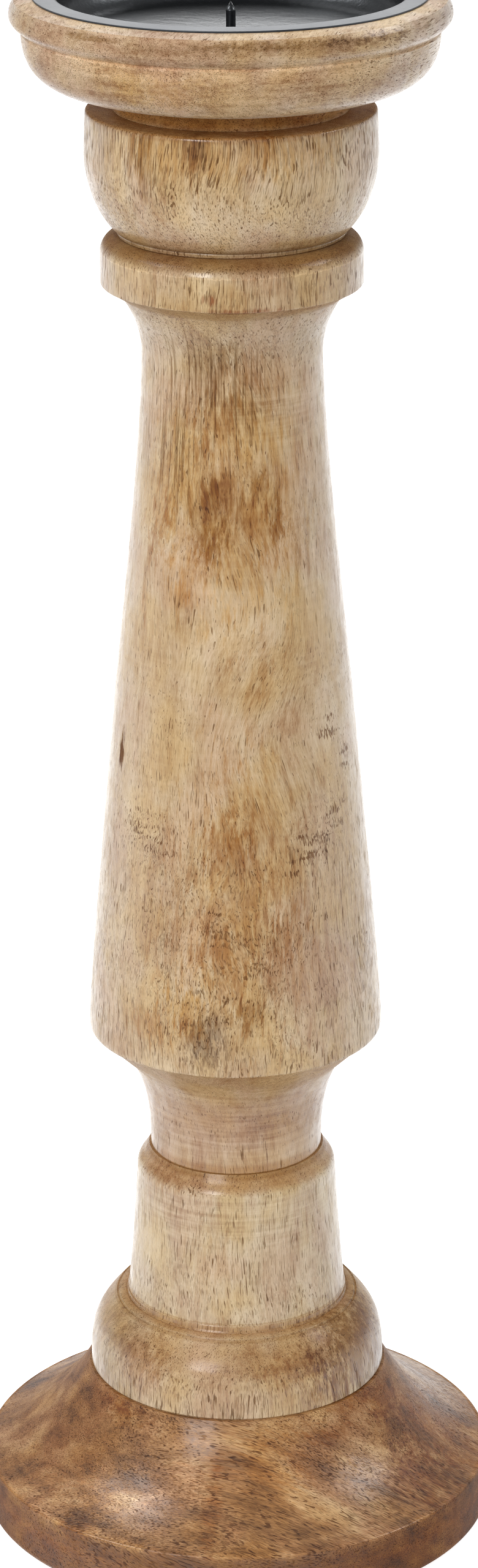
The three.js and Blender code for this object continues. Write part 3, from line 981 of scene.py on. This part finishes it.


# Boards: coloured marks, painted highlights and painted shade are rows of angle, z, wide, tall, tint and
# strength, bands of Band, pores of height and amount, and the rest of Zone

BASE_BOARD = Board(
    seed=1.3, pith=(20, 140), tones=UMBER, pores=[(0, 1.6), (18, 1.6), (40, 1.5)], pore_length=2.0,
    grain=(0.95, -0.22, -0.25), figure=CLOUDS, mottle=0.8, lacquer=0.45, gloss=0.3,
    stains=[
        (-44, 35, 8, 2.5, DARK, 0.7), (-62, 24, 16, 7, BROWN, 0.5), (-58, 24, 24, 14, DARKER_AND_SHADE, 0.2),
        (-58, 16, 16, 5, BROWN, 0.2), (-7, 22, 2.2, 8, BROWN, 0.8), (33, 33, 7, 2.5, BROWN, 0.8),
        (53, 20, 9, 6, DARK, 0.6), (80, 22, 18, 10, BROWN, 1.1), (64, 29, 12, 5, DARK, 0.5),
        (-40, 15, 5, 2, DARK, 0.6), (10, 30, 14, 6, AMBER, 0.7), (-20, 24, 14, 6, PALE, 0.4),
        # Painted highlights: the pale marks at -38, -16 and 76 degrees on the hollow. Painted shade: the
        # greyer mark at 39 degrees, which dims the right highlight. The pale mark on the rim at -52 degrees
        # is paler wood with a painted sheen.
        (-38, 22, 9, 6, PALE, 1.1), (39, 22, 9, 6, DARKER_AND_SHADE, 0.7), (-16, 35, 6, 4, PALE, 0.8),
        (76, 28, 4, 4, PALE, 0.8), (-52, 13, 22, 9, PALE, 1.2), (-52, 37.5, 7, 3, BROWN, 1.0),
        (51, 37.5, 8, 3, BROWN, 0.9), (66, 34, 9, 4, BROWN, 1.2), (-64, 34, 8, 4, BROWN, 0.5),
        (0, 24, 16, 7, PALE, 1.0), (58, 18.5, 11, 4.5, BROWN, 0.9), (0, 13.5, 22, 1.8, BROWN, 0.2),
        (26, 11, 7, 3, DARK, 0.5), (52, 12, 10, 3, PALE, 0.8),
    ],
    bands=[
        (15.3, 0.4, PALE, 0.9), (10.5, 6, BROWN, 1.0), (4, 7, BROWN, 1.0), (12.5, 3.5, DARKER_AND_SHADE, 1.0),
        (5, 9, DARKER_AND_SHADE, 1.0),
    ],
    scrapes=[(-50, 24, 40, 14, 0.7), (40, 22, 40, 12, 0.5)],
    scratches=[(-55, 24, 26, 12, 0.9), (-20, 14, 40, 5, 0.8), (50, 14, 30, 4, 0.6)])
PEDESTAL_BOARD = Board(
    seed=2.1, pith=(40, 120), tones=CREAM, pores=[(38, 1.5), (50, 1.0), (62, 1.1), (92, 0.9)],
    stains=[
        # The brown mark at 60 degrees and the greyer one at 64 degrees are painted shade on the bead's right
        # side.
        (-42, 49, 9, 6, BROWN, 0.7), (24, 50, 9, 4, BROWN, 0.6), (60, 48, 16, 12, BROWN, 1.3),
        (64, 46, 20, 14, DARKER_AND_SHADE, 1.3), (-62, 46, 14, 12, DARKER_AND_SHADE, 0.7), (-58, 87, 6, 7, BROWN, 0.3),
        (-50, 93.5, 8, 3.5, BROWN, 0.6), (42, 42.5, 9, 5, BROWN, 0.8), (-14, 74, 7, 10, AMBER, 0.3),
    ],
    bands=[
        # The brown band at 95.5 and the dark band at 97.0 are painted shade on the shoulder round the neck's
        # foot.
        (56.6, 0.6, DARK, 0.4), (58.3, 1.6, BROWN, 0.8), (59.6, 0.25, DARK, 0.4), (95.5, 3.0, BROWN, 0.75),
        (97.0, 1.6, DARK, 0.6), (52.5, 6.0, BROWN, 0.45), (46, 12, BROWN, 0.4),
    ],
    scrapes=[(0, 86, 40, 8, 0.7), (0, 52, 60, 6, 0.6)])
SHAFT_BOARD = Board(
    seed=3.7, pith=(-60, 90), tones=HONEY,
    pores=[(97, 0.7), (118, 0.4), (132, 1.4), (180, 1.2), (205, 0.6), (250, 0.55), (297, 0.8), (318, 1.25)],
    stains=[
        (-14, 263, 4.2, 11, DARK, 0.85), (-4, 268, 4.5, 9, DARK, 0.6), (25, 263, 2.2, 7, DARK, 0.8),
        (16, 272, 3, 4, DARK, 0.6), (19, 260, 4, 8, BROWN, 0.7), (-6, 294, 2.2, 10, BROWN, 0.5),
        (8, 294, 3, 9, BROWN, 0.5), (-9, 284, 5, 7, BROWN, 0.6), (-46, 260, 3.5, 8, BROWN, 0.9),
        (-54, 247, 2.2, 10, BROWN, 0.8), (-32, 244, 3.5, 5, AMBER, 0.7), (48, 262, 5, 14, GREY, 0.4),
        (0, 268, 20, 24, AMBER, 0.8), (-20, 250, 6, 8, PALE, 0.5), (5, 238, 12, 9, PALE, 0.4),
        (15, 229, 2, 9, BROWN, 0.5), (8, 220, 2, 8, BROWN, 0.5), (-1, 186, 6, 6, BROWN, 0.9),
        (22, 165, 6, 6, BROWN, 0.7), (-4, 158, 7, 8, BROWN, 0.7), (0, 168, 18, 36, AMBER, 0.6),
        (5, 144.5, 5, 3.5, DARK, 0.7), (-36, 140, 6, 5, BROWN, 0.9), (-19, 146, 6, 5, AMBER, 1.0),
        (-17, 140, 4, 3, AMBER, 1.0), (-11, 138.5, 5, 7, GREY, 1.3), (2, 172, 9, 26, BROWN, 0.5),
        (34, 160, 15, 28, DUSK, 0.8), (-40, 172, 14, 16, DUSK, 0.6), (-14, 300, 6, 8, OLIVE, 0.7),
        (4, 288, 7, 6, OLIVE, 0.4), (-9, 317.6, 2.2, 1.2, RED, 0.9), (3, 315, 9, 0.7, RED, 0.8),
        (-65, 204.2, 1.2, 4.5, TEAR, 1.6), (25, 182.6, 0.5, 2.4, TEAR, 0.7),
        (43.5, 181.5, 0.5, 2.8, TEAR, 0.7), (43, 139, 0.4, 2.8, PALE, 1.0),
        (10, 177.5, 0.4, 2.0, PALE, 1.0),
    ],
    bands=[
        # The band at 325.4 is the ring top's darker end grain with painted shade under the cup; the brown
        # band at 98.0 is painted shade at the neck's foot.
        (325.4, 3.0, DEEP_BROWN_AND_SHADE, 0.9), (322.5, 0.25, PALE, 0.8), (286, 2.2, BROWN, 0.25),
        (98.0, 2.6, BROWN, 0.8), (304, 6, GREY, 0.25), (112, 9, BROWN, 0.45), (109, 16, DUSK, 0.9),
    ],
    scrapes=[(0, 111, 45, 13, 1.0), (30, 288, 24, 8, 0.5)],
    lines=[(-30, 286, 17, 24, 1.6), (8, 296, 7, 12, 1.0)],
    curls=[(-5, 160, 30, 30, 1.0), (-42, 186, 10, 10, 1.0), (46, 187, 9, 8, 1.0), (-30, 218, 9, 12, 0.8)],
    tears=[
        (70, 227.4, 2.5, 4, 3.0), (52, 211.5, 5, 4, 3.2), (62, 203, 3, 6, 3.0), (34, 184, 8, 6, 2.2),
        (28, 180, 5, 7, 1.8), (52, 191, 6, 8, 2.2), (-42, 187, 9, 8, 2.4), (-25, 183, 10, 2, 2.4),
        (65, 156, 4, 4, 3.0),
    ],
    leans=[(14, 225, 18, 28, 0.3)])
CUP_BOARD = Board(
    seed=4.4, pith=(70, 60), tones=HONEY, pores=[(326, 1.3), (340, 1.3), (350, 1.6)],
    stains=[
        (-15, 353, 2.4, 6, GREY, 0.7), (-15, 350, 1.6, 6, BROWN, 0.8), (-36, 348, 2.2, 8, DARK, 0.7),
        (-42, 349, 1.5, 7, DARK, 0.5), (13, 353, 3, 5, BROWN, 0.7), (0, 352, 30, 6, AMBER, 0.7),
        (-6, 335, 20, 7, PALE, 0.6),
    ],
    # The band at 327.3 is painted shade in the crease at the cup's foot.
    bands=[(355, 1.3, BROWN, 0.5), (327.3, 1.6, DEEP_BROWN_AND_SHADE, 0.5)],
    leans=[(10, 346, 22, 12, 0.25)])
DISH_BOARD = Board(
    seed=5.2, pith=(30, -110), tones=SAND, pores=[(356, 1.2), (380.4, 1.2), (381, 0.1)],
    grain=(0.3, 1, 0), figure=SPECKS, mottle=0.9, lacquer=0.7,
    stains=[
        (12, 379.3, 26, 1.0, OLIVE, 1.0), (45, 379.1, 16, 1.3, OLIVE, 1.0),
        (-38, 379.3, 9, 0.9, OLIVE, 1.0), (8, 378.3, 34, 1.5, OLIVE, 0.6), (-20, 368, 14, 5, GOLD, 0.8),
        (45, 358, 8, 3, DARK, 0.5),
    ],
    bands=[
        # The band at 357.5 is painted warm light bounced onto the stub in the dish's shade; the pale band at
        # 381.2 is painted light on the upward land, and the pale band at 373.6 a painted highlight along the
        # ridge.
        (357.5, 2.8, PAINTED_BOUNCE_LIGHT, 1.0), (364, 8, PALE, 0.6), (381.2, 0.8, PALE, 0.6), (373.6, 0.7, PALE, 0.7),
        (373.5, 4.5, PALE, 1.4),
    ],
    scrapes=[(0, 370, 70, 16, 0.6)])
DOWEL_BOARD = Board(
    seed=6.1, pith=(50, 50), tones=BARE, pores=[(0, 0.5), (382, 0.5)], mottle=0.5, lacquer=0.0)

# Turned wood: name, solid, half-section, finish, board and slot
COLUMN = (
    ("base", "base_disc", base_section, "base_wood", BASE_BOARD, "dark_wood"),
    ("bead_and_collar", "pedestal", pedestal_section, "pedestal_wood", PEDESTAL_BOARD, "pale_wood"),
    ("tapered_shaft", "shaft", shaft_section, "shaft_wood", SHAFT_BOARD, "pale_wood"),
    ("cup", "capital", capital_section, "cup_wood", CUP_BOARD, "pale_wood"),
    ("top_dish", "dish", dish_section, "dish_wood", DISH_BOARD, "pale_wood"),
)
for name, node, section, finish, board, slot in COLUMN:
    turned(name, section(), Wood(finish, board).material, "holder", slot, node)

enamel = black_enamel()
turned("black_plate", plate_section(), enamel, "insert", "black_enamel", "candle_plate")
turned("candle_spike", spike_section(), enamel, "insert", "black_enamel", "spike", SMALL_FACETS)

dowel_wood = Wood("dowel_wood", DOWEL_BOARD).material
for node in ("lower_dowel", "upper_dowel"):
    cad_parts[node].data.materials.clear()
    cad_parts[node].data.materials.append(dowel_wood)

zinc = zinc_plate()
turned("washer", washer_section(), zinc, "holder", "zinc_steel", "screw_washer", SMALL_FACETS)
_, head_bottom, screw_tip = reach("base_screw")
thread = {
    "Core": SCREW_CORE, "Crest": THREAD_RADIUS, "Pitch": THREAD_PITCH, "Head": head_bottom,
    "From": head_bottom + SCREW_HEAD_HEIGHT + SHANK[1], "To": screw_tip - SCREW_POINT,
    "Cross Length": CROSS[0], "Cross Width": CROSS[1], "Cross Depth": CROSS[2]}
screw = grown("screw", lathed("screw", screw_section(), zinc, SMALL_FACETS), thread_tree(), Finish=zinc,
              **{name: size * MM for name, size in thread.items()})
finished("screw", screw, "holder", "zinc_steel", ["base_screw"])

felt = pressed_felt()
pads = grown("felt_pads", lathed("felt_pad", pad_section(), felt, SMALL_FACETS), ring_tree(), Finish=felt,
             Count=FELT_COUNT, Circle=FELT_CIRCLE * MM, Fuzz=FELT_FUZZ * MM)
finished("felt_pads", pads, "holder", "brown_felt", [f"felt_pad_{count + 1}" for count in range(FELT_COUNT)])

# Stage, in metres

FLOOR_HALF = 6.0
FLOOR_FADE = (-0.5, -0.1)  # along y, from the dull front to the pale rest
FLOOR_FRONT = (0.3, 0.3, 0.3, 1)
FLOOR_PALE = (0.85, 0.85, 0.85, 1)
FLOOR_GLOW = 0.85
LIGHT_AIM = (0, 0, 0.19)
WORLD_LEVEL = 0.48
CEILING_LEVEL = 0.35
CEILING_EDGE = (0.12, 0.32)  # the rise of a ray, from the walls to the ceiling
Box = namedtuple("Box", "name place side watts diffuse")
BOXES = (
    Box("front_box", (-0.5, -1.38, 1.25), 1.0, 18.5, True),
    Box("rear_box", (0.3, 1.5, 1.0), 0.8, 4.0, True),
    Box("glint_box", (-0.63, -1.18, 0.9), 0.5, 7.0, False),
    Box("left_box", (-0.78, 0, 1.28), 0.6, 10.0, False),
    Box("right_box", (1.03, 0.08, 1.1), 0.5, 7.0, False),
    Box("back_box", (0, 1.4, 1.2), 0.9, 9.0, False),
)


def aim_camera():
    """The photograph's viewpoint."""
    camera = placed("camera", bpy.data.cameras.new("camera"))
    camera.data.sensor_width = SENSOR
    camera.data.lens = SENSOR * FOCAL_LENGTH / FRAME_HEIGHT
    tilt = Matrix.Rotation(math.radians(90 - CAMERA_PITCH), 4, "X")
    roll = Matrix.Rotation(math.radians(CAMERA_ROLL), 4, "Z")
    camera.matrix_world = Matrix.Translation(Vector(CAMERA_PLACE) * MM) @ tilt @ roll
    bpy.context.scene.camera = camera


def rays(nodes, *kinds):
    """1 for rays of these kinds, from Light Path."""
    total = 0.0
    for kind in kinds:
        total = nodes.node("ShaderNodeLightPath", None, None, f"Is {kind} Ray") + total
    return total.maths("MINIMUM", 1.0)


def lay_floor():
    """A pale table, white to the camera, that keeps the holder's shadow and is duller towards the front."""
    mesh = bpy.data.meshes.new("floor")
    corners = [(x * FLOOR_HALF, y * FLOOR_HALF, 0) for x, y in ((-1, -1), (1, -1), (1, 1), (-1, 1))]
    mesh.from_pydata(corners, [], [(0, 1, 2, 3)])
    floor = placed("floor", mesh)
    material, nodes = new_finish("pale_floor")
    _, back, _ = nodes.parts(nodes.coordinates("Object"))
    pale = back.rise(*FLOOR_FADE)
    paint = nodes.mix(pale, FLOOR_FRONT, FLOOR_PALE)
    diffuse = nodes.node("ShaderNodeBsdfDiffuse", None, {"Color": paint})
    level = (rays(nodes, "Camera", "Transmission") + rays(nodes, "Glossy") * pale) * FLOOR_GLOW
    glow = nodes.node("ShaderNodeEmission", None, {"Strength": level})
    surface = nodes.node("ShaderNodeAddShader", None, {0: diffuse, 1: glow})
    nodes.node("ShaderNodeOutputMaterial", None, {"Surface": surface})
    mesh.materials.append(material)


def light_studio():
    """A white room with soft boxes: in front and behind for the wood, and round about for its gloss."""
    world = bpy.data.worlds.new("white_room")
    bpy.context.scene.world = world
    world.use_nodes = True
    world.node_tree.nodes.clear()
    nodes = Nodes(world.node_tree)
    _, _, up = nodes.parts(nodes.coordinates("Generated"))
    ceiling = 1.0 - up.rise(*CEILING_EDGE) * (1 - CEILING_LEVEL)
    seen = rays(nodes, "Camera", "Transmission")
    gloss = rays(nodes, "Glossy")
    level = WORLD_LEVEL * (1.0 - seen - gloss) + seen + gloss * ceiling
    sky = nodes.node("ShaderNodeBackground", None, {"Color": (1, 1, 1, 1), "Strength": level})
    nodes.node("ShaderNodeOutputWorld", None, {"Surface": sky})
    for box in BOXES:
        lamp = bpy.data.lights.new(box.name, "AREA")
        lamp.shape = "SQUARE"
        lamp.size = box.side
        lamp.energy = box.watts
        light = placed(box.name, lamp)
        light.visible_diffuse = box.diffuse
        light.visible_glossy = not box.diffuse
        toward = Vector(LIGHT_AIM) - Vector(box.place)
        turn = toward.to_track_quat("-Z", "Y").to_matrix().to_4x4()
        light.matrix_world = Matrix.Translation(box.place) @ turn


aim_camera()
lay_floor()
light_studio()
bpy.context.scene.view_settings.view_transform = "Standard"
